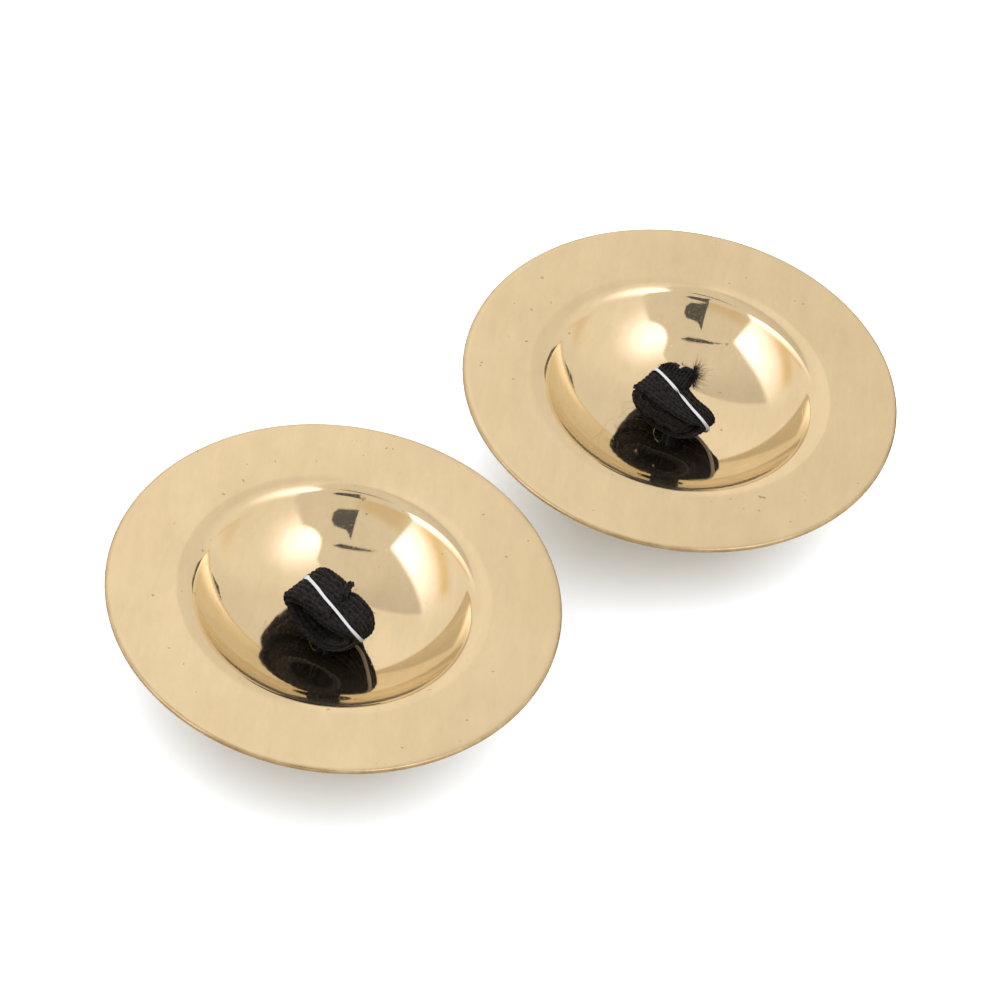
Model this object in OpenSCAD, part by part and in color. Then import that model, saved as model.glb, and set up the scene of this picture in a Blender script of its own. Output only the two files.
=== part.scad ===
// A pair of finger cymbals lying with their hollow sides up, each one resting on the elastic
// finger loop under its dome. Millimetres; +Z up, z = 0 is the flat underside of both loops.
// Each strap is one length of tape: a finger loop below the disc, a stem through the hole, and a
// roll in the bowl with the cut tail on it. A thin band binds each roll.

/* [Discs] */
// Diameter of each disc across its rim
rim_d = 60; // [54:1:80]
// Thickness of the brass sheet
sheet_t = 0.8; // [0.6:0.1:1.2]
// Slope of the bowl wall where it meets the rounding under the brim, in degrees
wall_slope = 52; // [46:1:56]
// Radius of the bowl where it meets that rounding, as a share of the rim radius
bowl_share = 0.60; // [0.57:0.01:0.65]
// Radius of the rounding between the brim and the bowl, on the hollow side
brim_round = 3.6; // [2.5:0.1:4.5]
// Diameter of the hole at the bottom of the bowl
hole_d = 4.4; // [4.2:0.1:6]

/* [Layout] */
// Distance between the two disc centres along X
spread_x = 40.5; // [40:0.5:90]
// Distance between the two disc centres along Y
spread_y = 48.4; // [48:0.1:90]
// Direction of the long side of strap A, in degrees from +X
turn_a = -34; // [-180:1:180]
// Direction of the long side of strap B, in degrees from +X
turn_b = -36; // [-180:1:180]

/* [Elastic straps] */
// Width of the elastic tape
tape_w = 7.2; // [6:0.1:8]
// Thickness of the elastic tape
tape_t = 1.2; // [0.9:0.1:1.3]
// Width of the finger loop from side to side
loop_w = 21; // [18:0.5:26]
// Height of the finger loop as it lies squashed under the disc
loop_h = 7.2; // [7:0.1:10]
// Width of each roll
roll_w = 10.8; // [10:0.1:12]
// Height of roll A, from its sagging underside to its top
roll_a_h = 5.4; // [4.6:0.1:5.8]
// Height of roll B
roll_b_h = 5.0; // [4.6:0.1:5.8]

/* [Binding bands] */
// Width of the thin binding bands
band_w = 0.5; // [0.4:0.1:1.2]
// Thickness of the thin binding bands
band_t = 0.3; // [0.2:0.05:0.5]

/* [Hidden] */
brass = [0.83, 0.66, 0.36];
black = [0.10, 0.10, 0.11];
white = [0.93, 0.93, 0.92];
clear = 0.3;
round_fn = 96;
rim_r = rim_d / 2;
// Radius at which the bowl's sphere passes into the rounding
meet_r = rim_r * bowl_share;
bowl_r = meet_r / sin(wall_slope);
round_centre_r = meet_r + brim_round * sin(wall_slope);
bowl_depth = (bowl_r + brim_round) * (1 - cos(wall_slope));
bowl_bottom_z = loop_h + clear + sheet_t;
brim_z = bowl_bottom_z + bowl_depth;
bowl_centre_z = bowl_bottom_z + bowl_r;
centre_a = [-spread_x / 2, -spread_y / 2, 0];
centre_b = [spread_x / 2, spread_y / 2, 0];
// The stem is the tape gathered to pass the hole, with room to turn in it
stem_w = 3.6;
stem_t = 2.8;
stem_r = hole_d / 2 - 0.35;
// Each roll's crown is a low arch and its underside a deep one
crown_h = 1.0;
end_t = 1.5 * tape_t;
crown_t = 0.7;
// Height of both rolls' undersides above the bottom of the bowl
lift = 1.4;
// Each roll's place off the disc's axis, along its long side and across it, and its tilt
shift_a = [-0.5, 0.3];
shift_b = [-1.1, 0.8];
tilt_a = 3;
tilt_b = 6;
// Strap A's cut tail lies on the left half of its roll
tail_a_l = 4.9;
tail_a_t = 0.8;
// Strap B's cut tail leans back behind its roll, frayed at the end
tail_b_w = 6.0;
tail_b_t = 1.4;
tail_b_l = 3.0;
tail_b_lean = 50;
tail_b_shift = -2.0;
// Clearance under the bands, how far behind the roll's middle they run on top, and how far behind
// the stem's middle they pass below
band_clear = 0.05;
band_shift = 0.6;
band_back = 2.3;

// Pie slice with its point at the origin, from one angle below straight down to another
module wedge(from_deg, to_deg, reach) {
    mid_deg = (from_deg + to_deg) / 2;
    polygon([[0, 0],
             reach * [sin(from_deg), -cos(from_deg)],
             reach * [sin(mid_deg), -cos(mid_deg)],
             reach * [sin(to_deg), -cos(to_deg)]]);
}

// Half section of the pressed sheet: domed bowl, rounding and flat brim with a rounded edge
module disc_section() {
    translate([0, bowl_centre_z])
        intersection() {
            difference() {
                circle(r = bowl_r + sheet_t, $fn = round_fn);
                circle(r = bowl_r, $fn = round_fn);
            }
            wedge(0, wall_slope, 2 * bowl_r);
        }
    translate([round_centre_r, brim_z - brim_round])
        intersection() {
            difference() {
                circle(r = brim_round, $fn = round_fn);
                circle(r = brim_round - sheet_t, $fn = round_fn);
            }
            rotate(180)
                wedge(0, wall_slope, 2 * brim_round);
        }
    translate([round_centre_r, brim_z - sheet_t])
        square([rim_r - sheet_t / 2 - round_centre_r, sheet_t]);
    translate([rim_r - sheet_t / 2, brim_z - sheet_t / 2])
        circle(r = sheet_t / 2, $fn = round_fn);
}

// Brass disc with the strap's hole at the bottom of its bowl
module disc() {
    color(brass)
        difference() {
            rotate_extrude($fn = round_fn)
                disc_section();
            translate([0, 0, bowl_bottom_z - 2 * sheet_t])
                cylinder(d = hole_d, h = 4 * sheet_t, $fn = round_fn);
        }
}

// Closed outline, half of one ellipse above the origin and half of another below it
function egg(half_w, up, down) =
    [for (a = [0 : 15 : 345]) [half_w * cos(a), (a < 180 ? up : down) * sin(a)]];

// Solid of an outline drawn in X and Z, running along Y for the given width
module across_tape(width) {
    translate([0, width / 2, 0])
        rotate([90, 0, 0])
            linear_extrude(height = width)
                children();
}

// Squashed finger loop under the disc, flat above and below
module finger_loop() {
    half_h = loop_h / 2;
    bulge = 1.12;
    color(black)
        across_tape(tape_w)
            difference() {
                intersection() {
                    translate([0, half_h])
                        polygon(egg(loop_w / 2, half_h * bulge, half_h * bulge));
                    translate([-loop_w, 0])
                        square([2 * loop_w, loop_h]);
                }
                intersection() {
                    translate([0, half_h])
                        polygon(egg(loop_w / 2 - tape_t, half_h, half_h));
                    translate([-loop_w, tape_t])
                        square([2 * loop_w, loop_h - 2 * tape_t]);
                }
            }
}

// Moves a shape drawn about the roll's top line to its place in the bowl
module at_roll_top(shift, height, tilt) {
    translate([shift[0], shift[1], bowl_bottom_z + lift + height])
        rotate([0, tilt, 0])
            children();
}

// Roll of tape in the bowl, with the gathered stem that carries it up through the hole
module strap_roll(shift, height, tilt) {
    stem_h = bowl_bottom_z + lift + tape_t - loop_h;
    color(black) {
        at_roll_top(shift, height, tilt)
            across_tape(tape_w)
                translate([0, -crown_h])
                    difference() {
                        polygon(egg(roll_w / 2, crown_h, height - crown_h));
                        polygon(egg(roll_w / 2 - end_t, crown_h - crown_t, height - crown_h - tape_t));
                    }
        translate([0, 0, loop_h])
            intersection() {
                translate([-stem_w / 2, -stem_t / 2, 0])
                    cube([stem_w, stem_t, stem_h]);
                cylinder(r = stem_r, h = stem_h, $fn = round_fn);
            }
    }
}

// Cut tail of strap A, lying on the left half of the roll
module flat_tail(shift, height, tilt) {
    color(black)
        at_roll_top(shift, height, tilt)
            across_tape(tape_w)
                difference() {
                    translate([0, -crown_h])
                        polygon(egg(roll_w / 2, crown_h + tail_a_t, crown_h));
                    translate([0, -crown_h])
                        polygon(egg(roll_w / 2, crown_h, height));
                    translate([-roll_w - tail_a_l, -roll_w])
                        square([roll_w, 3 * roll_w]);
                    translate([0, -roll_w])
                        square([roll_w, 3 * roll_w]);
                }
}

// Cut tail of strap B, leaning back from the far edge of the roll
module leaning_tail(shift, height, tilt) {
    color(black)
        at_roll_top(shift, height, tilt)
            translate([tail_b_shift, tape_w / 2, -tail_b_t])
                intersection() {
                    rotate([-tail_b_lean, 0, 0])
                        translate([-tail_b_w / 2, 0, -tail_b_t])
                            cube([tail_b_w, tail_b_t, tail_b_l + 2 * tail_b_t]);
                    translate([-tail_b_w, 0, -tail_b_l])
                        cube([2 * tail_b_w, 2 * tape_w, 3 * tail_b_l]);
                }
}

// Outline of the band around its roll, raised over the crown by a given amount
module band_outline(height, over) {
    half_w = roll_w / 2 + band_clear;
    up = crown_h + over + band_clear;
    down = height - crown_h + band_clear;
    translate([0, -crown_h])
        difference() {
            polygon(egg(half_w + band_t, up + band_t, down + band_t));
            polygon(egg(half_w, up, down));
        }
}

// Thin band round the roll: over the crown, with a step down where a tail ends under it,
// and leaning back so that it passes behind the stem below
module binding_band(shift, height, tilt, step) {
    lean = atan((band_back - band_shift - shift[1]) / height);
    color(white)
        at_roll_top(shift, height, tilt)
            intersection() {
                across_tape(tape_w) {
                    intersection() {
                        band_outline(height, step);
                        translate([-2 * roll_w, -roll_w])
                            square([2 * roll_w, 2 * roll_w]);
                    }
                    intersection() {
                        band_outline(height, 0);
                        translate([0, -roll_w])
                            square([2 * roll_w, 2 * roll_w]);
                    }
                    translate([0, band_clear])
                        square([band_t, step + band_t]);
                }
                translate([0, band_shift, 0])
                    rotate([lean, 0, 0])
                        translate([-roll_w, -band_w / 2, -2 * height])
                            cube([2 * roll_w, band_w, 3 * height]);
            }
}

module strap_a_place() {
    translate(centre_a)
        rotate([0, 0, turn_a])
            children();
}

module strap_b_place() {
    translate(centre_b)
        rotate([0, 0, turn_b])
            children();
}

translate(centre_a) disc();  // disc_a
strap_a_place() finger_loop();  // finger_loop_a
strap_a_place() strap_roll(shift_a, roll_a_h, tilt_a);  // strap_roll_a
strap_a_place() flat_tail(shift_a, roll_a_h, tilt_a);  // strap_tail_a
strap_a_place() binding_band(shift_a, roll_a_h, tilt_a, tail_a_t);  // binding_band_a
translate(centre_b) disc();  // disc_b
strap_b_place() finger_loop();  // finger_loop_b
strap_b_place() strap_roll(shift_b, roll_b_h, tilt_b);  // strap_roll_b
strap_b_place() leaning_tail(shift_b, roll_b_h, tilt_b);  // strap_tail_b
strap_b_place() binding_band(shift_b, roll_b_h, tilt_b, 0);  // binding_band_b
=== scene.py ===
"""A pair of brass finger cymbals with black elastic straps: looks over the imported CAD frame."""
import math
import random

import bpy
from mathutils import Matrix, Vector, noise


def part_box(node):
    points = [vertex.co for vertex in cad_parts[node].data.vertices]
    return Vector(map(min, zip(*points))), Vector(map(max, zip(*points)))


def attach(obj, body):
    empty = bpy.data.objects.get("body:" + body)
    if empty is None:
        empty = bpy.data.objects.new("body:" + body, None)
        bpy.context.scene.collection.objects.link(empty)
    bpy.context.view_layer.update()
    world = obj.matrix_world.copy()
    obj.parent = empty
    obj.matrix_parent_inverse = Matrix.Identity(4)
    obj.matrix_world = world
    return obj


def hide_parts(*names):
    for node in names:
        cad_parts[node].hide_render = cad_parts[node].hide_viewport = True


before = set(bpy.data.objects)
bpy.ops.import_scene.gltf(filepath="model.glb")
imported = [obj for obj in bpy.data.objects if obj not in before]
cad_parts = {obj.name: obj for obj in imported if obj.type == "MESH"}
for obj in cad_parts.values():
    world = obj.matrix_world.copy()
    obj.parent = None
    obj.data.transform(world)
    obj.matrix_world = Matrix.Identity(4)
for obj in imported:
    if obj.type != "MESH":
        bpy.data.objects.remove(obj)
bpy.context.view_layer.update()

MM = 0.001

# ---------------------------------------------------------------- sizes, in millimetres
SHEET_T = 0.8
WALL_SLOPE = math.radians(52)
BOWL_SHARE = 0.60
BRIM_ROUND = 3.6
HOLE_R = 2.2
# Rounding of the hole's two edges
HOLE_LIP = 0.12
# Length and height of the waves in a disc, which is never quite true
DISC_WAVES = ((16, 0.035), (6, 0.006))
LOOP_W = 21
TURN = {"a": math.radians(-34), "b": math.radians(-36)}

# Elastic tape: its own size, its braid, its creases and its ends
TAPE_W = 7.1
TAPE_T = 0.85
RIBS = 8
POINTS_PER_RIB = 6
EDGE_SHARE = 0.55
GROOVE_SHARE = 0.34
STITCH_LONG = 0.62
STITCH_HIGH = 0.045
STITCH_SLANT = 2.6
CREASE_LONG = 1.7
CREASE_HIGH = 0.10
# Rows of points over which an end is rounded, and over which a skewed cut comes square
END_ROWS = 3
SKEW_ROWS = 12
# Distance between rows of points in the tape that shows, the loop, and the filler inside a roll
TAPE_STEP = 0.13
LOOP_STEP = 0.14
FILLER_STEP = 0.15
FILLER_RIBS = 5
# Loose fibres: the share of its thickness that one loses by its tip, how far a hair and a frayed
# fibre bend off as a share of their length, and how high a frayed one waves
FIBRE_TAPER = 0.6
HAIR_BEND = 0.35
FRAY_BEND = 0.5
FRAY_WAVE = 0.05

# Binding band: half sizes of its section, and a wider place just in from its left-hand corner
BAND_HALF_W = 0.22
BAND_HALF_T = 0.06
FLARE = 0.9
FLARE_IN = 0.35
FLARE_LONG = 0.3
# A twist turns over only what is above this height, and this sharply
TWIST_ABOVE = 4.9
TWIST_SHARP = 2.4

# Camera: aimed at a point on the brims' plane
CAMERA_LENS = 191.4
CAMERA_AIM = (-1.18, -2.87)
CAMERA_AWAY = 708.2
CAMERA_RISE = math.radians(47.484)
CAMERA_ROLL = math.radians(10.4)

# The directions along a strap's long side and across its tape, before the strap is turned
ALONG = Vector((1, 0, 0))
ACROSS = Vector((0, 1, 0))
# Pieces that a smooth curve is cut into between two of its chosen points
CURVE_STEPS = 24


def box_mm(node):
    """Lowest and highest corner of a CAD node, in millimetres."""
    low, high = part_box(node)
    return Vector(low) / MM, Vector(high) / MM


def centre_of(node):
    """Middle of a CAD node in plan."""
    low, high = box_mm(node)
    return Vector(((low.x + high.x) / 2, (low.y + high.y) / 2, 0))


DISC_LOW, DISC_HIGH = box_mm("disc_a")
RIM_R = (DISC_HIGH.x - DISC_LOW.x) / 2
BRIM_Z = DISC_HIGH.z
LOOP_H = box_mm("finger_loop_a")[1].z
MEET_R = RIM_R * BOWL_SHARE
BOWL_R = MEET_R / math.sin(WALL_SLOPE)
ROUND_R = MEET_R + BRIM_ROUND * math.sin(WALL_SLOPE)
BOWL_DEPTH = (BOWL_R + BRIM_ROUND) * (1 - math.cos(WALL_SLOPE))
BOWL_Z = BRIM_Z - BOWL_DEPTH
CENTRE = {"a": centre_of("disc_a"), "b": centre_of("disc_b")}


# ---------------------------------------------------------------- mesh helpers
def make_object(name, verts, faces, material, smooth=True):
    """A mesh object in metres from vertices in millimetres."""
    mesh = bpy.data.meshes.new(name)
    mesh.from_pydata([Vector(v) * MM for v in verts], [], faces)
    mesh.validate()
    mesh.update()
    if smooth:
        mesh.polygons.foreach_set("use_smooth", [True] * len(mesh.polygons))
    obj = bpy.data.objects.new(name, mesh)
    bpy.context.scene.collection.objects.link(obj)
    obj.data.materials.append(material)
    return obj


def to_place(side, point):
    """A point about a cymbal's axis, heights from the bottom of its bowl, put in its place."""
    turned = Matrix.Rotation(TURN[side], 3, "Z") @ Vector(point)
    return turned + CENTRE[side] + Vector((0, 0, BOWL_Z))


def curve_point(p0, p1, p2, p3, t):
    """Point at share t of the way from p1 to p2 on a Catmull-Rom curve through four points."""
    return 0.5 * (2 * p1 + (p2 - p0) * t + (2 * p0 - 5 * p1 + 4 * p2 - p3) * t * t
                  + (3 * p1 - p0 - 3 * p2 + p3) * t ** 3)


def smooth_line(points, step):
    """Evenly spaced points on a smooth curve through some chosen points."""
    pts = [Vector(p) for p in points]
    pts = [2 * pts[0] - pts[1]] + pts + [2 * pts[-1] - pts[-2]]
    fine = []
    for i in range(1, len(pts) - 2):
        fine += [curve_point(*pts[i - 1:i + 3], k / CURVE_STEPS) for k in range(CURVE_STEPS)]
    fine.append(pts[-2])
    reach = [0.0]
    for a, b in zip(fine, fine[1:]):
        reach.append(reach[-1] + (b - a).length)
    count = max(2, round(reach[-1] / step))
    out = []
    j = 0
    for i in range(count + 1):
        d = reach[-1] * i / count
        while j < len(fine) - 2 and reach[j + 1] < d:
            j += 1
        span = max(reach[j + 1] - reach[j], 1e-9)
        out.append(fine[j].lerp(fine[j + 1], (d - reach[j]) / span))
    return out


def closed_curve(points):
    """A smooth closed curve through some chosen points."""
    points = [Vector(p) for p in points]
    out = []
    for i in range(len(points)):
        around = [points[(i + j - 1) % len(points)] for j in range(4)]
        out += [curve_point(*around, k / CURVE_STEPS) for k in range(CURVE_STEPS)]
    return out


def merge(parts):
    """One vertex and face list out of several."""
    verts, faces = [], []
    for v, f in parts:
        base = len(verts)
        verts.extend(v)
        faces.extend(tuple(base + k for k in face) for face in f)
    return verts, faces


def build_piece(name, side, parts, material, node):
    """One object on a strap's body, in place of one CAD node, from parts drawn about the axis."""
    verts, faces = merge(parts)
    obj = make_object(name, [to_place(side, v) for v in verts], faces, material)
    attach(obj, f"strap_{side}")
    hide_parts(node)


# ---------------------------------------------------------------- brass discs
def disc_profile():
    """Closed half section of a disc as (radius, height), from the hole's upper edge outwards."""
    pts = []
    sphere_z = BOWL_Z + BOWL_R
    round_z = BRIM_Z - BRIM_ROUND
    edge_r = RIM_R - SHEET_T / 2
    out_r = BOWL_R + SHEET_T
    hole_angle = math.asin(HOLE_R / BOWL_R)
    out_angle = math.asin(HOLE_R / out_r)
    lip_angle = HOLE_LIP / BOWL_R

    def arc(cx, cz, r, start, end, steps):
        """Points on a circle, by angles from straight down."""
        for i in range(steps + 1):
            a = start + (end - start) * i / steps
            pts.append((cx + r * math.sin(a), cz - r * math.cos(a)))

    def level(start, end, z, steps=14):
        """Points between the two ends of a level stretch."""
        for i in range(1, steps):
            pts.append((start + (end - start) * i / steps, z))

    arc(0, sphere_z, BOWL_R, hole_angle + lip_angle, WALL_SLOPE, steps=70)
    pts.pop()
    arc(ROUND_R, round_z, BRIM_ROUND, math.pi + WALL_SLOPE, math.pi, steps=30)
    level(ROUND_R, edge_r, BRIM_Z)
    arc(edge_r, BRIM_Z - SHEET_T / 2, SHEET_T / 2, math.pi, 0, steps=14)
    level(edge_r, ROUND_R, BRIM_Z - SHEET_T)
    arc(ROUND_R, round_z, BRIM_ROUND - SHEET_T, math.pi, math.pi + WALL_SLOPE, steps=24)
    pts.pop()
    arc(0, sphere_z, out_r, WALL_SLOPE, out_angle + lip_angle, steps=60)
    low = sphere_z - out_r * math.cos(out_angle)
    high = sphere_z - BOWL_R * math.cos(hole_angle)
    pts += [(HOLE_R, low + HOLE_LIP), (HOLE_R, (low + high) / 2), (HOLE_R, high - HOLE_LIP)]
    return pts


def build_disc(side, material, around=360):
    """A disc turned round its axis, with its sheet's long shallow waves."""
    profile = disc_profile()
    seed = Vector((3.1, 7.7, 1.3)) * (1 if side == "a" else 2)
    verts, faces = [], []
    for i in range(around):
        turn = 2 * math.pi * i / around
        for r, z in profile:
            flat = Vector((r * math.cos(turn), r * math.sin(turn), 0))
            wave = sum(height * noise.noise(flat / length + seed) for length, height in DISC_WAVES)
            verts.append(flat + Vector((CENTRE[side].x, CENTRE[side].y, z + wave)))
    ring = len(profile)
    for i in range(around):
        for j in range(ring):
            a, b = i * ring + j, i * ring + (j + 1) % ring
            c, d = ((i + 1) % around) * ring + (j + 1) % ring, ((i + 1) % around) * ring + j
            faces.append((a, d, c, b))
    obj = make_object(f"brass_disc_{side}", verts, faces, material)
    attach(obj, f"cymbal_{side}")
    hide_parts(f"disc_{side}")


# ---------------------------------------------------------------- elastic tape
def tape_section(u, thick, ribs):
    """Half thickness of the tape at u across it, from -1 to 1, ribbed and thin at its edges."""
    from_edge = min(1.0, (1 - abs(u)) * ribs)
    body = thick / 2 * (EDGE_SHARE + (1 - EDGE_SHARE) * from_edge)
    rib = abs(math.sin(math.pi * ribs * (u + 1) / 2))
    return body - GROOVE_SHARE * thick * (1 - rib ** 0.6)


def stitch(distance, u, rib, ribs):
    """Height of the braid's slanting stitches, which are out of step from one rib to the next."""
    phase = 2 * math.pi * (distance / STITCH_LONG + 0.5 * rib + 0.35 * math.sin(rib * 2.1))
    off_middle = (u + 1) / 2 * ribs - rib - 0.5
    return STITCH_HIGH * math.sin(phase + STITCH_SLANT * off_middle * (1 if rib % 2 else -1))


def at_row(value, i):
    """The i-th of a list, or the one number that stands for every row."""
    return value[i] if isinstance(value, list) else value


def tape_mesh(line, half_w, bow=0.0, across=ACROSS, thick=TAPE_T, ribs=RIBS, seed=0, ragged=(0, 0),
              skew=0.0, tip=None):
    """Vertices and faces of a ribbed tape. line: centre points; across: the direction across it;
    half_w and bow: half width and sagitta, at each point or all along; ragged: how far the ribs
    stick out at its two ends; skew and tip: how its first end slants and its last is shaped."""
    rnd = random.Random(seed)
    us = [-1 + 2 * k / (ribs * POINTS_PER_RIB) for k in range(ribs * POINTS_PER_RIB + 1)]
    last = len(line) - 1
    step = (line[1] - line[0]).length
    rag = [[rnd.uniform(-1, 1) for _ in range(ribs + 1)] for _ in range(2)]
    verts, faces = [], []
    for i, centre in enumerate(line):
        ahead = (line[min(i + 1, last)] - line[max(i - 1, 0)]).normalized()
        up = ahead.cross(across).normalized()
        fade = min(1.0, (i + 0.4) / END_ROWS, (last - i + 0.4) / END_ROWS) ** 0.5
        upper, lower = [], []
        for u in us:
            rib = min(int((u + 1) / 2 * ribs), ribs - 1)
            at = centre + across * (at_row(half_w, i) * u) + up * (at_row(bow, i) * (1 - u * u))
            half = (tape_section(u, thick, ribs) + stitch(i * step, u, rib, ribs)) * fade
            crease = CREASE_HIGH * noise.noise(at / CREASE_LONG + Vector((seed, 0, 0)))
            along = skew * u * max(0.0, 1 - i / SKEW_ROWS)
            if tip:
                along += tip(u) * (i / last) ** 5
            if i == 0:
                along -= ragged[0] * abs(rag[0][rib])
            if i == last:
                along += ragged[1] * abs(rag[1][rib])
            upper.append(at + up * (half + crease) + ahead * along)
            lower.append(at - up * (half - crease) + ahead * along)
        verts.extend(upper)
        verts.extend(reversed(lower))
    ring = 2 * len(us)
    for i in range(last):
        for j in range(ring):
            a, b = i * ring + j, i * ring + (j + 1) % ring
            faces.append((a, b, b + ring, a + ring))
    for base, flip in ((0, True), (last * ring, False)):
        for j in range(len(us) - 1):
            quad = (base + j, base + j + 1, base + ring - 2 - j, base + ring - 1 - j)
            faces.append(tuple(reversed(quad)) if flip else quad)
    return verts, faces


def spread_course(points, step):
    """A course of (along, height, front edge, back edge) as centre points and half widths."""
    fronts = smooth_line([(s, z, front) for s, z, front, back in points], step)
    backs = smooth_line([(s, z, back) for s, z, front, back in points], step)
    count = min(len(fronts), len(backs))
    line, half_w = [], []
    for i in range(count):
        front = fronts[i].z
        back = backs[round(i * (len(backs) - 1) / max(1, count - 1))].z
        line.append(Vector((fronts[i].x, (front + back) / 2, fronts[i].y)))
        half_w.append((back - front) / 2)
    return line, half_w


def laid_tape(course, seed, **looks):
    """Tape laid along a course of (along, height, front edge, back edge)."""
    line, half_w = spread_course(course, TAPE_STEP)
    return tape_mesh(line, half_w, seed=seed, **looks)


def filler(course, seed):
    """Crumpled tape that fills a roll, seen only as darkness inside it."""
    line, half_w = spread_course(course, FILLER_STEP)
    return tape_mesh(line, half_w, ribs=FILLER_RIBS, seed=seed)


def planar(points):
    """Points on the strap's middle, given as distance along its long side and height."""
    return [Vector((s, 0, z)) for s, z in points]


# ---------------------------------------------------------------- loose fibres
def fibre_mesh(fibres, radius):
    """Thin three-sided tubes along some lines, thinner towards their tips."""
    verts, faces = [], []
    for line in fibres:
        base, last = len(verts), len(line) - 1
        for i, point in enumerate(line):
            ahead = (line[min(i + 1, last)] - line[max(i - 1, 0)]).normalized()
            side = ahead.orthogonal().normalized()
            other = ahead.cross(side)
            r = radius * (1 - FIBRE_TAPER * i / last)
            for k in range(3):
                a = 2 * math.pi * k / 3
                verts.append(point + side * (r * math.cos(a)) + other * (r * math.sin(a)))
        for i in range(last):
            for k in range(3):
                a, b = base + 3 * i + k, base + 3 * i + (k + 1) % 3
                faces.append((a, b, b + 3, a + 3))
        tip = base + 3 * last
        faces += [(base + 2, base + 1, base), (tip, tip + 1, tip + 2)]
    return verts, faces


def any_way(rnd):
    """A random vector in a cube about zero."""
    return Vector([rnd.uniform(-1, 1) for _ in range(3)])


def curled(root, way, bend, steps):
    """A fibre that leaves its root one way and bends off it more and more."""
    return [root + way * (t / steps) + bend * (t / steps) ** 2 for t in range(steps + 1)]


def hairs(verts, count, length, seed):
    """Short curling fibres that stand out of a surface's own points."""
    rnd = random.Random(seed)
    middle = sum(verts, Vector()) / len(verts)
    out = []
    for _ in range(count):
        root = verts[rnd.randrange(len(verts))]
        way = ((root - middle).normalized() + any_way(rnd)).normalized()
        bend = HAIR_BEND * any_way(rnd)
        reach = length * rnd.uniform(0.4, 1.0)
        out.append(curled(root, reach * way, reach * bend, steps=5))
    return out


def cut_fibres(end, way, across, half_w, count, length, seed):
    """Frayed, slightly wavy fibres along a cut end of tape."""
    rnd = random.Random(seed)
    out = []
    for _ in range(count):
        root = end + across * (half_w * rnd.uniform(-1, 1))
        splay = across * rnd.uniform(-0.7, 0.7)
        stray = Vector((rnd.uniform(-0.6, 0.6), rnd.uniform(-0.6, 0.6), rnd.uniform(-0.5, 0.7)))
        aim = (way + splay + stray).normalized()
        bend = FRAY_BEND * any_way(rnd)
        reach = length * rnd.uniform(0.3, 1.0) ** 1.5
        fibre = curled(root, reach * aim, reach * bend, steps=7)
        out.append([p + Vector((0, 0, FRAY_WAVE * math.sin(2 * t))) for t, p in enumerate(fibre)])
    return out


# ---------------------------------------------------------------- straps
# Each course below is a short list of places chosen along a piece of tape or a band.
def finger_loop(side):
    """The loop under the disc and its two legs, which rise through the hole side by side."""
    middle = LOOP_H / 2 - BOWL_Z
    flat = (LOOP_H - TAPE_T) / 2 - 0.1
    top, floor = middle + flat, middle - flat
    wide = (LOOP_W - TAPE_T) / 2
    leg = [(-0.5, 1.45), (-0.45, 0.6), (-0.45, -0.6), (-0.85, top + 0.3)]
    over = [(-2.4, top), (-5.2, top - 0.1), (-8.2, middle + 0.72 * flat), (-wide, middle + 0.4)]
    under = [(0.5 - wide, middle - 1.5), (-7.6, middle - 0.85 * flat), (-5.0, floor), (-2.0, floor - 0.04)]
    half = leg + over + under
    line = smooth_line(planar(half + [(0, floor - 0.05)] + [(-s, z) for s, z in reversed(half)]), LOOP_STEP)
    half_w, bow = [], []
    for point in line:
        # the legs gather over the last millimetre below the sheet
        gather = min(1.0, max(0.0, point.z + 1.9)) if abs(point.x) < 3 else 0.0
        gather = gather * gather * (3 - 2 * gather)
        half_w.append(TAPE_W / 2 * (1 - 0.6 * gather))
        bow.append(0.35 * gather)
        point.y = 0.6 * gather
    inner_z = top - TAPE_T
    bridge = smooth_line(planar([(-2.6, inner_z), (0, inner_z - 0.15), (2.6, inner_z)]), LOOP_STEP)
    return [tape_mesh(line, half_w, bow, seed=11 if side == "a" else 12),
            tape_mesh(bridge, TAPE_W / 2, seed=13)]


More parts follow.
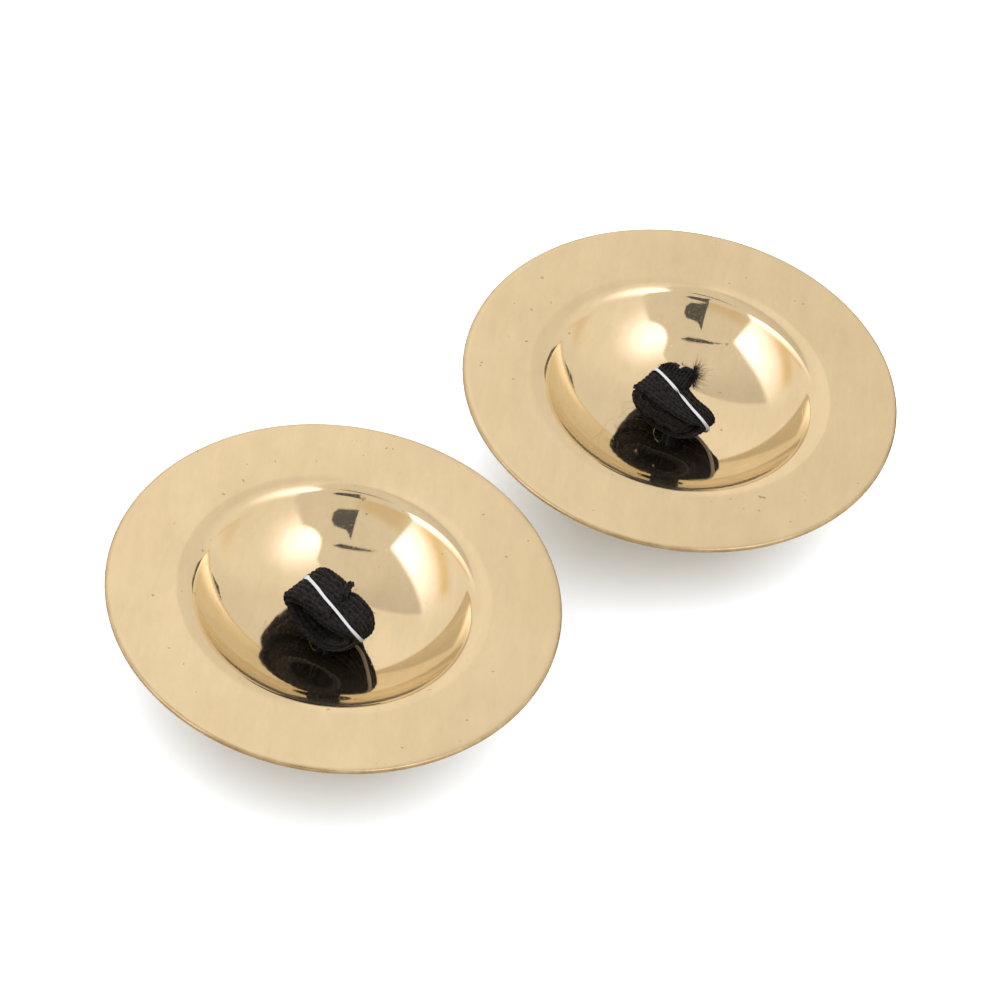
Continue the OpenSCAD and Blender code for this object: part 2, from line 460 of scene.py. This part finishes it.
def roll_a(material):
    """Roll A: one outer turn of tape, a turn nested in its right-hand end, and filler behind."""
    outer = [(-0.4, 6.75, -2.3, 4.3), (-2.8, 6.75, -2.5, 4.2), (-4.7, 6.45, -2.7, 4.1),
             (-5.5, 5.75, -2.8, 4.1), (-5.1, 4.9, -2.85, 4.1), (-3.95, 3.7, -2.9, 4.1),
             (-2.5, 2.5, -2.8, 4.2), (-1.0, 1.8, -2.65, 4.3), (0.6, 1.55, -2.4, 4.2),
             (2.0, 1.7, -1.9, 4.0), (3.3, 2.35, -1.0, 3.2), (4.25, 3.5, -0.35, 2.8),
             (4.65, 4.5, -0.3, 2.9), (4.4, 5.4, -0.8, 3.6), (3.4, 6.05, -1.5, 4.2),
             (1.8, 6.5, -2.1, 4.4), (0.3, 6.7, -2.4, 4.4), (-1.2, 6.0, -2.2, 4.2),
             (-3.2, 5.95, -2.3, 4.0)]
    inner = [(-1.2, 5.75, -2.2, 4.2), (0.8, 5.95, -2.3, 4.3), (2.4, 5.6, -1.9, 4.2),
             (3.5, 4.9, -1.2, 3.8), (3.65, 4.05, -0.9, 3.4), (3.1, 3.3, -1.1, 3.4),
             (1.8, 2.75, -1.8, 3.8), (0.6, 2.6, -2.2, 4.0)]
    inside = [(-3.9, 4.4, 0.8, 3.9), (-2.4, 4.5, 0.6, 3.8), (-3.0, 3.5, 0.8, 3.8),
              (-1.2, 4.1, 0.4, 3.8), (-1.6, 3.0, 0.6, 3.9), (0.3, 3.9, 0.2, 3.9),
              (0.2, 3.0, 0.4, 3.9), (1.4, 3.6, 0.2, 3.8)]
    below = [(-5.6, 4.6, -0.5, 4.4), (-5.1, 3.3, -0.6, 4.5), (-3.8, 2.1, -0.6, 4.5),
             (-2.2, 1.4, -0.4, 4.5), (-0.6, 1.3, 0.0, 4.5)]
    layers = [laid_tape(outer, 1), laid_tape(inner, 2), filler(inside, 6), filler(below, 7)]
    fuzz = fibre_mesh(hairs(layers[0][0], count=170, length=0.7, seed=5), radius=0.011)
    build_piece("strap_roll_a_braid", "a", layers + [fuzz], material, "strap_roll_a")


def tail_a(material):
    """The cut end of strap A, over the left half of its roll, its edge turned up in a frayed ridge."""
    course = [(0.1, 7.4, -2.1, 4.3), (-1.2, 7.5, -2.2, 4.3), (-3.0, 7.55, -2.5, 4.4),
              (-4.75, 7.35, -2.75, 4.4), (-5.8, 6.6, -2.8, 4.2), (-5.9, 5.75, -2.8, 4.3),
              (-5.45, 4.9, -2.8, 4.2)]
    line, half_w = spread_course(course, TAPE_STEP)
    flap = tape_mesh(line, half_w, seed=3, ragged=(0.3, 0), skew=0.7)
    crest = smooth_line([(-0.75, 4.5, 7.5), (-0.7, 4.1, 7.9), (-0.4, 3.0, 7.75), (0.1, 2.1, 7.65)],
                        TAPE_STEP)
    ridge = tape_mesh(crest, half_w=0.5, bow=0.15, across=Vector((0.95, 0.3, 0)), thick=0.75, ribs=2,
                      seed=4)
    fray = cut_fibres(line[0], Vector((1, 0, 0.2)), ACROSS, TAPE_W / 2, count=60, length=0.7, seed=8)
    fray += cut_fibres(crest[-1], Vector((0.3, -0.6, 0.4)), ACROSS, 0.5, count=20, length=0.6, seed=9)
    parts = [flap, ridge, fibre_mesh(fray, radius=0.012)]
    build_piece("strap_tail_a_braid", "a", parts, material, "strap_tail_a")


def roll_b(material):
    """Roll B: its front edge droops over its opening, and its right-hand end is pinched low."""
    outer = [(-0.6, 5.6, -1.5, 3.2), (-2.6, 5.7, -2.0, 3.4), (-4.6, 5.7, -2.4, 3.4),
             (-5.45, 5.2, -2.7, 3.4), (-5.05, 4.4, -2.9, 3.4), (-4.25, 3.5, -2.8, 3.4),
             (-3.1, 2.6, -2.5, 3.4), (-1.8, 1.9, -2.1, 3.4), (0.0, 1.65, -1.6, 3.4),
             (1.6, 1.7, -0.9, 3.4), (2.9, 2.15, 0.0, 3.3), (3.7, 3.0, 0.9, 3.2),
             (4.1, 3.9, 1.2, 3.3), (3.9, 4.6, 0.7, 3.6), (3.1, 5.15, -0.3, 3.7),
             (1.4, 5.7, -1.2, 3.6), (-0.8, 6.2, -1.8, 3.3), (-3.0, 6.7, -2.3, 3.5),
             (-5.1, 6.95, -2.6, 3.6), (-5.95, 6.3, -2.75, 3.6), (-6.0, 5.5, -2.8, 3.6),
             (-5.6, 4.7, -2.8, 3.5)]
    droop = [(-4.0, 5.1, -2.9, 0.5), (-2.4, 4.35, -2.5, 0.8), (-0.6, 3.7, -1.9, 1.2),
             (1.2, 3.25, -1.2, 1.6), (2.4, 3.2, -0.4, 2.0), (3.1, 3.7, 0.4, 2.2)]
    second = [(-3.9, 5.4, -2.5, 2.6), (-2.2, 5.0, -2.2, 2.8), (-0.4, 4.6, -1.7, 2.9),
              (1.4, 4.2, -1.0, 3.0), (2.9, 4.1, 0.0, 3.1)]
    left = [(-4.2, 6.15, -2.5, 3.3), (-5.1, 6.0, -2.7, 3.4), (-5.5, 5.4, -2.8, 3.4),
            (-5.2, 4.7, -2.8, 3.4)]
    behind = [(-3.9, 4.6, 1.4, 3.2), (-2.8, 3.4, 1.2, 3.2), (-1.8, 4.4, 1.0, 3.2),
              (-1.2, 2.6, 1.0, 3.2), (-0.2, 4.2, 0.8, 3.2), (0.4, 2.6, 0.8, 3.2),
              (1.4, 3.9, 1.0, 3.2), (2.0, 2.7, 1.0, 3.1)]
    below = [(-5.4, 4.2, -0.5, 3.9), (-4.9, 3.0, -0.6, 3.9), (-3.5, 1.9, -0.5, 3.9),
             (-1.8, 1.3, -0.4, 3.9)]
    # a narrow fold of the front edge hangs over the opening, its width wavering along it
    hem = smooth_line([(-5.4, -2.8, 5.9), (-4.0, -3.0, 5.3), (-2.4, -2.75, 4.7), (-0.6, -2.15, 4.2),
                       (1.2, -1.45, 3.9), (2.6, -0.6, 3.8)], TAPE_STEP)
    hem_half_w = [0.85 + 0.2 * math.sin(0.35 * i) for i in range(len(hem))]
    layers = [laid_tape(outer, 21, across=Vector((-0.03, 1, 0.01))),
              laid_tape(droop, 22), laid_tape(second, 24), laid_tape(left, 33),
              tape_mesh(hem, hem_half_w, bow=0.25, across=Vector((0.1, -0.25, -0.97)), thick=0.7,
                        ribs=2, seed=34),
              filler(behind, 27), filler(below, 31)]
    loose = [[(-4.9, -2.4, 4.6), (-5.6, -3.3, 4.2), (-5.9, -4.0, 3.4), (-5.3, -4.3, 2.8)],
             [(-4.9, -2.6, 4.3), (-5.9, -3.0, 3.9), (-6.6, -3.2, 3.0), (-6.2, -3.6, 2.2),
              (-5.6, -3.4, 2.0)],
             [(-4.6, -2.6, 4.0), (-5.0, -3.6, 3.7), (-5.8, -4.3, 3.8)]]
    fuzz = hairs(layers[0][0], count=210, length=0.9, seed=25)
    fuzz += [smooth_line(points, step=0.25) for points in loose]
    layers.append(fibre_mesh(fuzz, radius=0.012))
    build_piece("strap_roll_b_braid", "b", layers, material, "strap_roll_b")


def tail_b(material):
    """The cut end of strap B, folded back and up behind its band, crumpled, notched and frayed."""
    def two_lobes(u):
        """How far the end reaches at u across it: two rounded lobes with a notch between them."""
        return 0.35 * u - 0.75 * math.exp(-((u + 0.05) / 0.16) ** 2) - 0.9 * u ** 8

    rise = [Vector((-3.2, 1.9, 6.4)), Vector((-3.3, 2.6, 7.0)), Vector((-3.4, 3.3, 7.4)),
            Vector((-3.4, 3.8, 7.9)), Vector((-3.35, 4.1, 8.45))]
    line = smooth_line(rise, TAPE_STEP)
    half_w = [2.3 + 0.3 * math.sin(3 * i / len(line)) for i in range(len(line))]
    front = tape_mesh(line, half_w, bow=0.25, across=Vector((0.97, 0.14, 0.12)), thick=1.1, ribs=9,
                      seed=23, tip=two_lobes)
    behind = smooth_line([p + Vector((0.1, 0.8, -1.5)) for p in rise[1:]], TAPE_STEP)
    back = tape_mesh(behind, half_w=2.2, bow=-0.3, across=Vector((0.98, 0.1, 0.04)), thick=0.9,
                     ribs=9, seed=26, ragged=(0, 0.5))
    # a dense brush at the right-hand corner, a thin one under it, and a few fibres along the top
    corner = Vector((-1.15, 4.2, 8.3))
    under = corner + Vector((0.5, -0.4, -1.2))
    top = Vector((-2.2, 4.3, 8.5))
    fray = cut_fibres(corner, Vector((0.75, 0.1, 0.65)), Vector((0.35, -0.3, -0.9)), 1.1, count=560,
                      length=2.1, seed=28)
    fray += cut_fibres(under, Vector((0.9, 0, 0.1)), Vector((0.2, 0, -0.5)), 0.6, count=90,
                       length=1.1, seed=29)
    fray += cut_fibres(top, Vector((0.3, 0.1, 0.9)), ALONG, 1.3, count=60, length=0.7, seed=30)
    fray += hairs(front[0], count=120, length=0.5, seed=32)
    parts = [front, back, fibre_mesh(fray, radius=0.018)]
    build_piece("strap_tail_b_braid", "b", parts, material, "strap_tail_b")


# ---------------------------------------------------------------- binding bands
def band(side, course, material, twist_at=None):
    """Thin flat strip round a closed course of points. Where twist_at names a place along its top
    run, it turns over there and is edge-on for a moment."""
    section = ((-1, -0.6), (-0.85, -1), (0.85, -1), (1, -0.6), (1, 0.6), (0.85, 1), (-0.85, 1), (-1, 0.6))
    line = closed_curve(course)
    count, sides = len(line), len(section)
    middle = sum(line, Vector()) / count
    verts, faces = [], []
    for i, point in enumerate(line):
        ahead = (line[(i + 1) % count] - line[i - 1]).normalized()
        out = point - middle
        out.y = 0
        flat = ahead.cross(out).normalized()
        if twist_at is not None and point.z > TWIST_ABOVE:
            turn = math.pi / (1 + math.exp((twist_at - point.x) * TWIST_SHARP))
            flat = Matrix.Rotation(turn, 3, ahead) @ flat
        up = flat.cross(ahead).normalized()
        flare = 0.0
        if point.z > line[0].z:
            flare = FLARE * math.exp(-((point.x - line[0].x - FLARE_IN) / FLARE_LONG) ** 2)
        half_w = BAND_HALF_W * (1 + 0.12 * noise.noise(point * 0.9) + flare)
        verts += [point + flat * (half_w * a) + up * (BAND_HALF_T * b) for a, b in section]
    for i in range(count):
        for k in range(sides):
            a, b = sides * i + k, sides * i + (k + 1) % sides
            c, d = sides * ((i + 1) % count) + (k + 1) % sides, sides * ((i + 1) % count) + k
            faces.append((a, b, c, d))
    build_piece(f"binding_band_{side}_strip", side, [(verts, faces)], material,
                f"binding_band_{side}")


def band_a(material):
    """Over roll A from its left end, down round its right end, and back behind the stem."""
    over = [(-5.95, 1.0, 6.6), (-5.6, 0.95, 7.65), (-3.5, 0.4, 8.1), (-1.4, -0.15, 8.06),
            (0.5, -0.45, 7.87), (2.1, -0.4, 7.1), (3.85, -0.45, 6.4), (4.9, -0.1, 5.5)]
    under = [(5.2, 0.4, 4.6), (4.85, 1.3, 3.5), (4.15, 2.0, 2.45), (3.3, 2.5, 1.65), (2.2, 2.7, 1.2),
             (0.6, 2.75, 0.95), (-1.2, 2.75, 0.75), (-2.6, 2.5, 1.05), (-3.95, 2.2, 1.9)]
    sunk = [(-5.0, 1.8, 3.2), (-5.25, 1.4, 4.5), (-5.8, 1.1, 5.7)]
    band("a", over + under + sunk, material)


def band_b(material):
    """Over roll B from its left end, with one twist, and back behind the stem."""
    over = [(-6.25, 1.75, 6.2), (-5.6, 1.65, 7.5), (-3.7, 1.6, 7.4), (-1.2, 1.45, 6.85),
            (1.51, 1.15, 6.25), (3.74, 1.1, 5.65), (4.65, 1.5, 4.6)]
    under = [(4.7, 2.1, 3.4), (4.1, 2.6, 2.3), (3.2, 2.8, 1.6), (2.2, 2.9, 1.15), (0.6, 2.9, 0.98),
             (-1.0, 2.9, 0.85), (-2.2, 2.7, 0.95), (-3.55, 2.4, 1.75)]
    sunk = [(-4.8, 2.0, 3.0), (-5.35, 1.8, 4.2), (-5.75, 1.75, 5.2)]
    band("b", over + under + sunk, material, twist_at=-1.2)


# ---------------------------------------------------------------- materials
class Graph:
    """Short ways to wire up one tree of shader nodes."""

    def __init__(self, tree):
        self.nodes = tree.nodes
        self.links = tree.links

    def join(self, value, socket):
        """Links an output to an input, or gives the input a number or a colour."""
        if isinstance(value, (int, float, tuple)):
            socket.default_value = value
        else:
            self.links.new(value, socket)

    def node(self, kind, **settings):
        """A new node; each setting is the value of an input of that name, or else a property."""
        node = self.nodes.new(kind)
        for key, value in settings.items():
            if key in node.inputs:
                node.inputs[key].default_value = value
            else:
                setattr(node, key, value)
        return node

    def maths(self, operation, a, b=None):
        """One sum on one or two numbers."""
        node = self.node("ShaderNodeMath", operation=operation)
        self.join(a, node.inputs[0])
        if b is not None:
            self.join(b, node.inputs[1])
        return node.outputs[0]

    def product(self, first, *others):
        """All the values multiplied."""
        for other in others:
            first = self.maths("MULTIPLY", first, other)
        return first

    def total(self, first, *others):
        """All the values added."""
        for other in others:
            first = self.maths("ADD", first, other)
        return first

    def one_minus(self, value):
        """What is left of 1."""
        return self.maths("SUBTRACT", 1.0, value)

    def off_squared(self, value, centre, wide):
        """Square of the distance from a centre, counted in widths."""
        off = self.maths("DIVIDE", self.maths("SUBTRACT", value, centre), wide)
        return self.maths("MULTIPLY", off, off)

    def bell(self, value, centre, wide):
        """A bell about a centre, 1 at its middle."""
        return self.maths("EXPONENT", self.product(self.off_squared(value, centre, wide), -1.0))

    def slope(self, value, zero, one):
        """0 on one side and 1 on the other, easing from the place of the 0 to that of the 1."""
        node = self.node("ShaderNodeMapRange", interpolation_type="SMOOTHSTEP")
        low, high = min(zero, one), max(zero, one)
        ends = (0.0, 1.0) if zero < one else (1.0, 0.0)
        for key, end in zip(("From Min", "From Max", "To Min", "To Max"), (low, high, *ends)):
            node.inputs[key].default_value = end
        self.join(value, node.inputs["Value"])
        return node.outputs["Result"]

    def ramp(self, value, stops):
        """Straight ramp between two (place, grey or colour) stops over 0 to 1."""
        node = self.node("ShaderNodeValToRGB")
        for element, (place, colour) in zip(node.color_ramp.elements, stops):
            element.position = place
            element.color = (*colour, 1) if isinstance(colour, tuple) else (colour, colour, colour, 1)
        self.join(value, node.inputs["Fac"])
        return node.outputs["Color"]

    def noise_at(self, source, scale, detail, rough):
        """Smooth noise over some coordinates."""
        node = self.node("ShaderNodeTexNoise", Scale=scale, Detail=detail, Roughness=rough)
        self.join(source, node.inputs["Vector"])
        return node.outputs["Fac"]

    def drawn_out(self, source, squash, turn_deg):
        """Coordinates squashed along Y, which draws a noise out along it, and then turned."""
        node = self.node("ShaderNodeMapping", Scale=(1.0, squash, 1.0))
        node.inputs["Rotation"].default_value = (0, 0, math.radians(turn_deg))
        self.join(source, node.inputs["Vector"])
        return node.outputs[0]

    def mix(self, factor, a, b, kind="RGBA", blend="MIX"):
        """Blend of two colours, or of two numbers where the kind is FLOAT."""
        first, out = (6, 2) if kind == "RGBA" else (2, 0)
        node = self.node("ShaderNodeMix", data_type=kind, blend_type=blend)
        self.join(factor, node.inputs["Factor"])
        self.join(a, node.inputs[first])
        self.join(b, node.inputs[first + 1])
        return node.outputs[out]


def new_material(name, **inputs):
    """A material with some of its shader's inputs set, its graph and its shader."""
    mat = bpy.data.materials.new(name)
    mat.use_nodes = True
    shader = mat.node_tree.nodes["Principled BSDF"]
    for key, value in inputs.items():
        shader.inputs[key.replace("_", " ")].default_value = value
    return mat, Graph(mat.node_tree), shader


def brass_material(side):
    """Polished brass: cloudy handling marks, fine scratches, specks and tarnish along its edge."""
    mat, graph, shader = new_material(f"polished_brass_{side}", Metallic=1.0, Coat_Weight=0.6,
                                      Coat_Roughness=0.5)
    where = graph.node("ShaderNodeTexCoord").outputs["Object"]
    shift = graph.node("ShaderNodeVectorMath", operation="ADD")
    graph.join(where, shift.inputs[0])
    shift.inputs[1].default_value = (0.3, 0.1, 0.7) if side == "a" else (1.9, 0.4, 1.2)
    place = shift.outputs[0]

    # radius from the cymbal's own axis, in millimetres and as a share of the rim's
    apart = graph.node("ShaderNodeSeparateXYZ")
    graph.join(where, apart.inputs[0])
    flat = graph.node("ShaderNodeCombineXYZ")
    for axis, middle in (("X", CENTRE[side].x), ("Y", CENTRE[side].y)):
        graph.join(graph.maths("SUBTRACT", apart.outputs[axis], middle * MM), flat.inputs[axis])
    length = graph.node("ShaderNodeVectorMath", operation="LENGTH")
    graph.join(flat.outputs[0], length.inputs[0])
    radius = graph.product(length.outputs["Value"], 1 / MM)
    share = graph.maths("DIVIDE", radius, RIM_R)

    # colour: broad patches, cloudy streaks, small dark specks, and tarnish along the outer edge
    cloud = graph.ramp(graph.noise_at(place, 70, 4, 0.6),
                       [(0.3, (0.850, 0.752, 0.555)), (0.7, (0.900, 0.807, 0.615))])
    streak = graph.ramp(graph.noise_at(graph.drawn_out(place, 0.28, 25), 420, 5, 0.7),
                        [(0.35, 0.95), (0.75, 1.03)])
    clean = graph.mix(1.0, cloud, streak, blend="MULTIPLY")
    speck = graph.ramp(graph.noise_at(place, 900, 1, 0.5), [(0.765, 0.0), (0.80, 1.0)])
    edge = graph.ramp(share, [(0.982, 0.0), (0.995, 1.0)])
    tarnish = graph.product(edge, graph.ramp(graph.noise_at(place, 260, 3, 0.7), [(0.35, 0.3), (0.7, 0.75)]))
    dark = graph.maths("MAXIMUM", graph.product(speck, 0.6), tarnish)
    graph.join(graph.mix(dark, clean, (0.40, 0.29, 0.13, 1)), shader.inputs["Base Color"])

    # gloss: the bowl is a bright mirror, the brim has been handled and is satin
    brim = graph.ramp(share, [(0.60, 0.0), (0.68, 1.0)])
    mirror = graph.ramp(graph.noise_at(place, 110, 3, 0.6), [(0.35, 0.035), (0.75, 0.07)])
    satin = graph.ramp(graph.noise_at(place, 160, 4, 0.65), [(0.3, 0.15), (0.7, 0.26)])
    graph.join(graph.mix(brim, mirror, satin, kind="FLOAT"), shader.inputs["Roughness"])

    # relief: faint turning marks round the axis, and long fine scratches
    ring_in = graph.node("ShaderNodeCombineXYZ")
    graph.join(graph.product(radius, 5.0), ring_in.inputs["X"])
    ring = graph.noise_at(ring_in.outputs[0], 1.0, 3.0, 0.7)
    scratch_turn = 63 if side == "a" else 78
    scratch = graph.ramp(graph.noise_at(graph.drawn_out(place, 0.03, scratch_turn), 5200, 1, 0.5),
                         [(0.70, 1.0), (0.76, 0.0)])
    bump = graph.node("ShaderNodeBump", Strength=0.12, Distance=0.00004)
    graph.join(graph.total(graph.product(ring, 0.35), graph.product(scratch, 0.5)), bump.inputs["Height"])
    graph.join(bump.outputs[0], shader.inputs["Normal"])
    return mat


def elastic_material():
    """Black braid, a little uneven in its blackness."""
    mat, graph, shader = new_material("black_braided_elastic", Roughness=0.8, Specular_IOR_Level=0.2,
                                      Sheen_Weight=0.06, Sheen_Roughness=0.4)
    grain = graph.noise_at(graph.node("ShaderNodeTexCoord").outputs["Object"], 2500, 2, 0.5)
    graph.join(graph.ramp(grain, [(0.35, (0.0014, 0.0013, 0.0016)), (0.75, (0.0115, 0.0105, 0.0115))]),
               shader.inputs["Base Color"])
    return mat


def plain_material(name, colour, roughness, specular=0.5):
    """A material of one colour."""
    mat, _, _ = new_material(name, Base_Color=(*colour, 1), Roughness=roughness,
                             Specular_IOR_Level=specular)
    return mat


# ---------------------------------------------------------------- studio
# Directions are in degrees: turn goes round from the front towards the left, rise is above level.
def build_world():
    """A pale light tent: soft lamps to the left and right, a greyer gap between them in front."""
    world = bpy.data.worlds.new("studio")
    world.use_nodes = True
    graph = Graph(world.node_tree)
    apart = graph.node("ShaderNodeSeparateXYZ")
    graph.join(graph.node("ShaderNodeTexCoord").outputs["Generated"], apart.inputs[0])
    x, y, z = apart.outputs
    around = graph.maths("ARCTAN2", graph.product(x, -1.0), graph.product(y, -1.0))
    turn = graph.product(around, 180 / math.pi)
    rise = graph.product(graph.maths("ARCSINE", z), 180 / math.pi)
    bell, slope, product, total = graph.bell, graph.slope, graph.product, graph.total

    # even tent, a little brighter behind
    tent = total(product(slope(turn, 118, 150), 0.06), product(slope(turn, -130, -100), 0.12), 0.93)

    # right-hand lamp: its inner edge bulges at mid height
    bulge = product(graph.maths("MINIMUM", graph.off_squared(rise, 55, 12), 1.0), 14.0)
    front = product(slope(total(turn, bulge), -31, -25), slope(turn, 116, 112))
    right = product(bell(rise, 53, 13), slope(turn, -100, -40), slope(turn, 10, -5),
                    graph.one_minus(front), 1.45)

    # left-hand lamp: a sharp inner edge, a lid that comes down towards the side, fading to the left
    lid = total(rise, product(graph.off_squared(turn, 55, 1.0), 0.0042))
    under_lid = product(slope(lid, 47.5, 43.5), slope(turn, 45, 49.5))
    fading = {"From Min": 60, "From Max": 124, "To Min": 1.7, "To Max": 0.0}
    fade = graph.node("ShaderNodeMapRange", **fading)
    graph.join(turn, fade.inputs["Value"])
    left = product(bell(rise, 40, 14.5), fade.outputs["Result"], under_lid)

    # the front, between and above the lamps, is greyer, and so is everything below level
    grey = product(front, graph.one_minus(under_lid))
    drop = total(product(slope(turn, 55, 108), 0.13), 0.15)
    below = product(slope(rise, 0, -5), 0.25)
    level = product(total(tent, right, left, product(grey, drop, -1.0)), graph.one_minus(below))

    # the foot of the tent is a tan strip: higher in front, lower at the sides
    foot_front = product(slope(rise, 38, 31), slope(turn, -4, 14), slope(turn, 50, 38), 0.7)
    foot_left = product(bell(rise, 20, 4), slope(turn, 50, 58), slope(turn, 112, 98))
    foot_right = product(bell(rise, 13, 3.5), slope(turn, -40, -52), slope(turn, -112, -98), 0.6)
    foot = total(foot_front, foot_left, foot_right)

    # warm light, with whiter lamps
    red = product(level, 0.865)
    green = product(level, 0.738)
    blue = total(product(level, 0.575), product(total(right, left), 0.2))
    colour = graph.node("ShaderNodeCombineColor")
    for socket, channel, tan in zip(colour.inputs, (red, green, blue), (0.12, 0.25, 0.5)):
        graph.join(product(channel, graph.one_minus(product(foot, tan))), socket)
    graph.join(colour.outputs[0], graph.nodes["Background"].inputs["Color"])
    bpy.context.scene.world = world


def build_card(name, outline, away, start, material):
    """A dark thing in the studio that only the polished brass sees: its outline in turn and rise, and
    its distance, both from the same start."""
    verts = []
    for turn, rise in outline:
        turn, rise = math.radians(turn), math.radians(rise)
        way = Vector((-math.cos(rise) * math.sin(turn), -math.cos(rise) * math.cos(turn), math.sin(rise)))
        verts.append(start + away * way)
    card = make_object(name, verts, [tuple(range(len(verts)))], material, smooth=False)
    card.visible_camera = False
    card.visible_diffuse = False
    card.visible_shadow = False


def build_cards():
    """The camera's dark shape, a slot between two cloths of the tent, and a dark thing behind."""
    black = plain_material("studio_black", (0.05, 0.045, 0.04), 0.9)
    start = CENTRE["a"] + Vector((0, MEET_R * 0.6, BOWL_Z + 3))
    camera_shape = [(-13, 39), (-9, 36.5), (0, 36), (7, 35), (6.5, 42), (6.5, 48), (7, 55), (3, 51.5),
                    (0, 49.5), (-4, 49), (-12, 47.5), (-14.5, 44)]
    slot = [(-14, 60), (-4, 58.5), (16, 58), (30, 56), (40, 53), (30, 57.5), (16, 60.5), (-2, 61.5)]
    thing = [(-120, -6), (-141, -6), (-143, 3), (-139, 10), (-127, 11), (-121, 4)]
    build_card("camera_shape", camera_shape, 600, start, black)
    build_card("tent_slot", slot, 1500, start, black)
    build_card("dark_thing", thing, 700, start, black)


def build_floor(half=3000):
    """A pale matt floor that the brass doesn't mirror."""
    corners = [(-half, -half, 0), (half, -half, 0), (half, half, 0), (-half, half, 0)]
    pale = plain_material("pale_floor", (0.80, 0.88, 0.98), 0.9, specular=0.0)
    floor = make_object("floor", corners, [(0, 1, 2, 3)], pale, smooth=False)
    floor.visible_glossy = False


def build_overhead_lamp():
    """A broad soft lamp 1 m up, facing down, which the brass doesn't mirror."""
    data = bpy.data.lights.new("overhead", "AREA")
    data.size = 2.2
    data.energy = 44
    lamp = bpy.data.objects.new("overhead", data)
    lamp.location = (0, 0, 1)
    lamp.visible_camera = False
    lamp.visible_glossy = False
    bpy.context.scene.collection.objects.link(lamp)


def build_camera():
    """A long lens that looks down on the pair from the front, rolled a little."""
    data = bpy.data.cameras.new("camera")
    data.lens = CAMERA_LENS
    data.sensor_width = 36
    data.clip_start = 0.05
    data.clip_end = 20
    camera = bpy.data.objects.new("camera", data)
    bpy.context.scene.collection.objects.link(camera)
    way_back = Vector((0, -math.cos(CAMERA_RISE), math.sin(CAMERA_RISE)))
    place = Vector((*CAMERA_AIM, BRIM_Z)) + CAMERA_AWAY * way_back
    tilt = Matrix.Rotation(math.pi / 2 - CAMERA_RISE, 4, "X")
    camera.matrix_world = Matrix.Translation(place * MM) @ tilt @ Matrix.Rotation(CAMERA_ROLL, 4, "Z")
    bpy.context.scene.camera = camera


# ---------------------------------------------------------------- build
bpy.context.scene.view_settings.view_transform = "Standard"
build_camera()
build_floor()
build_world()
build_overhead_lamp()
build_cards()
elastic = elastic_material()
# greyish by itself: the lamp overhead makes it white
white = plain_material("white_binding_band", (0.31, 0.325, 0.36), 0.45)
for side in "ab":
    build_disc(side, brass_material(side))
    build_piece(f"finger_loop_{side}_braid", side, finger_loop(side), elastic, f"finger_loop_{side}")
roll_a(elastic)
tail_a(elastic)
roll_b(elastic)
tail_b(elastic)
band_a(white)
band_b(white)
